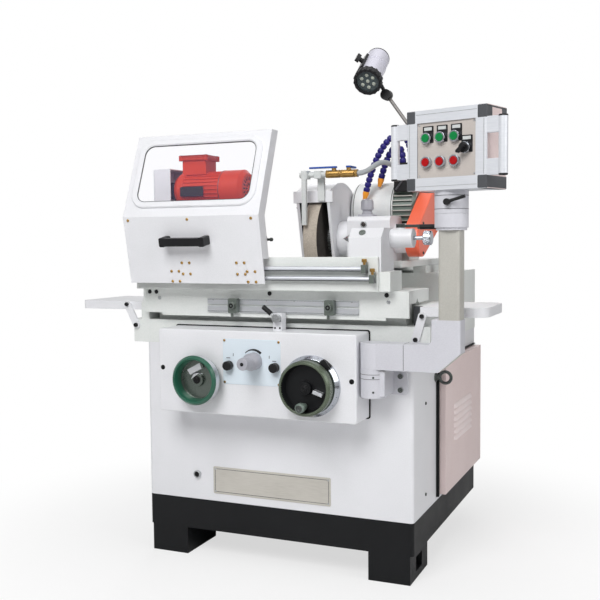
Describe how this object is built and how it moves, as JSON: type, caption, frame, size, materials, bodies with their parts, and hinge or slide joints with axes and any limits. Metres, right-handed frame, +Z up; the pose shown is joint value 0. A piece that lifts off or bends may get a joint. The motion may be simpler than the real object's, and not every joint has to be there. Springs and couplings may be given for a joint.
{
  "type": "cylindrical grinder",
  "caption": "Floor-standing cylindrical grinder with a sliding table, workhead under a splash hood, tailstock, grinding wheel, handwheels, swing-out control pendant and work lamp.",
  "frame": {"origin": "centre of the circle through the three floor-anchor holes, on the floor", "axes": "+X to the operator's right along the table, +Y from the operator towards the back, +Z up"},
  "size_m": [1.4495, 1.02, 1.6723],
  "materials": {
    "black_paint": "satin black paint",
    "white_paint": "light grey-white machine enamel",
    "bed_iron": "painted casting with ground ways",
    "white_motor": "white enamel over cast aluminium, hollow motor frame",
    "red_motor": "red enamel",
    "orange_guard": "orange-red enamel",
    "ground_steel": "ground",
    "dial_chrome": "polished",
    "handwheel_green": "green enamel rim, dark dish",
    "grey_plastic": "moulded",
    "black_plastic": "moulded",
    "pulley_iron": "turned",
    "belt_rubber": "moulded",
    "window_pane": "clear pane",
    "wheel_grit": "bonded abrasive, matt and porous",
    "coolant_metal": "brass valves, white nozzle, black manifold",
    "valve_blue": "dipped",
    "hose_blue": "moulded",
    "pole_grey": "beige-grey enamel",
    "case_aluminium": "anodised extrusion",
    "button_green": "moulded",
    "button_red": "moulded",
    "lamp_steel": "bright rods with black joints",
    "lamp_aluminium": "satin barrel, black ring"
  },
  "bodies": {
    "frame": {"plinth": "black_paint", "cabinet": "white_paint", "bed": "bed_iron", "apron_box": "white_paint", "drip_trays": "white_paint", "infeed_dial": "dial_chrome", "pendant_base": "white_paint"},
    "door": {"electrical_door": "white_paint"},
    "table": {"lower_table": "bed_iron"},
    "dog_left": {"stop_dog_left": "ground_steel"},
    "dog_right": {"stop_dog_right": "ground_steel"},
    "swivel": {"swivel_table": "bed_iron", "guide_rails": "ground_steel", "workhead": "white_paint", "workhead_motor": "red_motor", "workhead_belt": "belt_rubber"},
    "work_centre": {"work_spindle": "ground_steel"},
    "work_pulley": {"work_motor_pulley": "pulley_iron"},
    "hood": {"hood_shell": "white_paint", "hood_window": "window_pane", "hood_handle": "black_plastic"},
    "tailstock": {"tailstock_body": "white_paint"},
    "quill": {"tailstock_quill": "ground_steel"},
    "tail_lever": {"tailstock_lever": "black_plastic"},
    "tail_knob": {"tailstock_knob": "ground_steel"},
    "wheelhead": {"wheel_slide": "white_paint", "spindle_housing": "white_paint", "wheel_guard": "white_paint", "wheel_motor": "white_motor", "wheel_belt": "belt_rubber", "belt_guard": "orange_guard", "coolant_pipe": "coolant_metal", "coolant_hoses": "hose_blue"},
    "valve_left": {"valve_lever_left": "valve_blue"},
    "valve_right": {"valve_lever_right": "valve_blue"},
    "wheel": {"grinding_wheel": "wheel_grit", "wheel_spindle": "ground_steel"},
    "drive_pulley": {"wheel_motor_pulley": "pulley_iron"},
    "traverse_wheel": {"traverse_handwheel": "handwheel_green"},
    "infeed_wheel": {"infeed_handwheel": "handwheel_green"},
    "grip": {"infeed_grip": "grey_plastic"},
    "feed": {"feed_knob": "grey_plastic"},
    "throttle_a": {"throttle_left": "black_plastic"},
    "throttle_b": {"throttle_right": "black_plastic"},
    "reverse": {"reversing_lever": "black_plastic"},
    "pendant_swing": {"pendant_arm": "white_paint", "pendant_pole": "pole_grey", "pendant_joint": "white_paint"},
    "pendant_head": {"pendant_box": "case_aluminium"},
    "clamp": {"clamp_lever": "black_plastic"},
    "green_1": {"green_button_1": "button_green"},
    "green_2": {"green_button_2": "button_green"},
    "green_3": {"green_button_3": "button_green"},
    "red_1": {"red_button_1": "button_red"},
    "red_2": {"red_button_2": "button_red"},
    "red_3": {"red_button_3": "button_red"},
    "selector_switch": {"selector": "black_plastic"},
    "lamp_upright": {"lamp_post": "lamp_steel"},
    "lamp_boom": {"lamp_arm": "lamp_steel"},
    "lamp": {"lamp_head": "lamp_aluminium"}
  },
  "joints": [
    {"name": "door_hinge", "type": "hinge", "parent": "frame", "child": "door", "pos_m": [0.465, 0.49149, 0.416], "axis": [0, 0, 1], "range_deg": [0, 110]},
    {"name": "table_slide", "type": "slide", "parent": "frame", "child": "table", "axis": [1, 0, 0], "range_m": [-0.1, 0.1]},
    {"name": "dog_left_slide", "type": "slide", "parent": "table", "child": "dog_left", "axis": [1, 0, 0], "range_m": [-0.08, 0.03]},
    {"name": "dog_right_slide", "type": "slide", "parent": "table", "child": "dog_right", "axis": [1, 0, 0], "range_m": [-0.02, 0.07]},
    {"name": "swivel_hinge", "type": "hinge", "parent": "table", "child": "swivel", "pos_m": [0, -0.31151, 0.88], "axis": [0, 0, 1], "range_deg": [-5, 5]},
    {"name": "hood_slide", "type": "slide", "parent": "swivel", "child": "hood", "axis": [1, 0, 0], "range_m": [0, 0.15]},
    {"name": "work_spin", "type": "hinge", "parent": "swivel", "child": "work_centre", "pos_m": [-0.2, -0.27151, 1.02], "axis": [1, 0, 0], "continuous": true},
    {"name": "work_pulley_spin", "type": "hinge", "parent": "swivel", "child": "work_pulley", "pos_m": [-0.365, -0.28151, 1.178], "axis": [1, 0, 0], "continuous": true},
    {"name": "tailstock_slide", "type": "slide", "parent": "swivel", "child": "tailstock", "axis": [1, 0, 0], "range_m": [-0.1, 0.02]},
    {"name": "quill_slide", "type": "slide", "parent": "tailstock", "child": "quill", "axis": [1, 0, 0], "range_m": [0, 0.02], "stiffness_N_per_m": 3000, "springref_m": -0.02},
    {"name": "tail_lever_hinge", "type": "hinge", "parent": "tailstock", "child": "tail_lever", "pos_m": [0.4, -0.27151, 1.06], "axis": [0, 0, 1], "range_deg": [-50, 0]},
    {"name": "tail_knob_spin", "type": "hinge", "parent": "tailstock", "child": "tail_knob", "pos_m": [0.48, -0.27151, 1.02], "axis": [1, 0, 0], "continuous": true},
    {"name": "wheelhead_slide", "type": "slide", "parent": "frame", "child": "wheelhead", "axis": [0, 1, 0], "range_m": [-0.03, 0.1]},
    {"name": "wheel_spin", "type": "hinge", "parent": "wheelhead", "child": "wheel", "pos_m": [0.095, -0.07951, 1.02], "axis": [1, 0, 0], "continuous": true},
    {"name": "drive_pulley_spin", "type": "hinge", "parent": "wheelhead", "child": "drive_pulley", "pos_m": [0.393, 0.07849, 1.11], "axis": [1, 0, 0], "continuous": true},
    {"name": "valve_left_hinge", "type": "hinge", "parent": "wheelhead", "child": "valve_left", "pos_m": [0.174, -0.22151, 1.238], "axis": [0, 0, 1], "range_deg": [0, 90]},
    {"name": "valve_right_hinge", "type": "hinge", "parent": "wheelhead", "child": "valve_right", "pos_m": [0.222, -0.22151, 1.238], "axis": [0, 0, 1], "range_deg": [-90, 0]},
    {"name": "traverse_wheel_spin", "type": "hinge", "parent": "frame", "child": "traverse_wheel", "pos_m": [-0.181, -0.46151, 0.6], "axis": [0, 1, 0], "range_deg": [-1810, 1810]},
    {"name": "infeed_wheel_spin", "type": "hinge", "parent": "frame", "child": "infeed_wheel", "pos_m": [0.178, -0.46151, 0.595], "axis": [0, 1, 0], "range_deg": [-1090, 3610]},
    {"name": "grip_spin", "type": "hinge", "parent": "infeed_wheel", "child": "grip", "pos_m": [0.174, -0.49151, 0.543], "axis": [0, 1, 0], "continuous": true},
    {"name": "feed_turn", "type": "hinge", "parent": "frame", "child": "feed", "pos_m": [-0.004, -0.46151, 0.66], "axis": [0, 1, 0], "range_deg": [-135, 135]},
    {"name": "throttle_a_turn", "type": "hinge", "parent": "frame", "child": "throttle_a", "pos_m": [-0.087, -0.43651, 0.644], "axis": [0, 1, 0], "range_deg": [-150, 150]},
    {"name": "throttle_b_turn", "type": "hinge", "parent": "frame", "child": "throttle_b", "pos_m": [0.065, -0.43651, 0.644], "axis": [0, 1, 0], "range_deg": [-150, 150]},
    {"name": "reverse_turn", "type": "hinge", "parent": "frame", "child": "reverse", "pos_m": [0.052, -0.38651, 0.785], "axis": [0, 1, 0], "range_deg": [-20, 20]},
    {"name": "pendant_swing_hinge", "type": "hinge", "parent": "frame", "child": "pendant_swing", "pos_m": [0.353, -0.38951, 0.65], "axis": [0, 0, 1], "range_deg": [-80, 0]},
    {"name": "pendant_head_hinge", "type": "hinge", "parent": "pendant_swing", "child": "pendant_head", "pos_m": [0.58, -0.38951, 1.11], "axis": [0, 0, 1], "range_deg": [-60, 60]},
    {"name": "clamp_turn", "type": "hinge", "parent": "pendant_head", "child": "clamp", "pos_m": [0.58, -0.44351, 1.1146], "axis": [0, 1, 0], "range_deg": [-10, 60]},
    {"name": "green_1_press", "type": "slide", "parent": "pendant_head", "child": "green_1", "axis": [0.2756, 0.9613, 0], "range_m": [0, 0.004], "stiffness_N_per_m": 500, "springref_m": -0.002},
    {"name": "green_2_press", "type": "slide", "parent": "pendant_head", "child": "green_2", "axis": [0.2756, 0.9613, 0], "range_m": [0, 0.004], "stiffness_N_per_m": 500, "springref_m": -0.002},
    {"name": "green_3_press", "type": "slide", "parent": "pendant_head", "child": "green_3", "axis": [0.2756, 0.9613, 0], "range_m": [0, 0.004], "stiffness_N_per_m": 500, "springref_m": -0.002},
    {"name": "red_1_press", "type": "slide", "parent": "pendant_head", "child": "red_1", "axis": [0.2756, 0.9613, 0], "range_m": [0, 0.004], "stiffness_N_per_m": 500, "springref_m": -0.002},
    {"name": "red_2_press", "type": "slide", "parent": "pendant_head", "child": "red_2", "axis": [0.2756, 0.9613, 0], "range_m": [0, 0.004], "stiffness_N_per_m": 500, "springref_m": -0.002},
    {"name": "red_3_press", "type": "slide", "parent": "pendant_head", "child": "red_3", "axis": [0.2756, 0.9613, 0], "range_m": [0, 0.004], "stiffness_N_per_m": 500, "springref_m": -0.002},
    {"name": "selector_turn", "type": "hinge", "parent": "pendant_head", "child": "selector_switch", "pos_m": [0.63052, -0.46921, 1.2541], "axis": [-0.2756, -0.9613, 0], "range_deg": [-45, 45]},
    {"name": "lamp_swivel", "type": "hinge", "parent": "frame", "child": "lamp_upright", "pos_m": [0.434, 0.15449, 1], "axis": [0, 0, 1], "range_deg": [-45, 30]},
    {"name": "lamp_boom_tilt", "type": "hinge", "parent": "lamp_upright", "child": "lamp_boom", "pos_m": [0.434, 0.13749, 1.219], "axis": [0, 1, 0], "range_deg": [-10, 25]},
    {"name": "lamp_tilt", "type": "hinge", "parent": "lamp_boom", "child": "lamp", "pos_m": [0.2305, 0.12449, 1.504], "axis": [0, 1, 0], "range_deg": [-35, 35]}
  ],
  "couplings": [
    {"joint": "work_pulley_spin", "follows": "work_spin", "ratio": 1.4167},
    {"joint": "tail_lever_hinge", "follows": "quill_slide", "rad_per_m": -43.633},
    {"joint": "drive_pulley_spin", "follows": "wheel_spin", "ratio": 0.9},
    {"joint": "traverse_wheel_spin", "follows": "table_slide", "rad_per_m": 314.16},
    {"joint": "infeed_wheel_spin", "follows": "wheelhead_slide", "rad_per_m": 628.32}
  ]
}
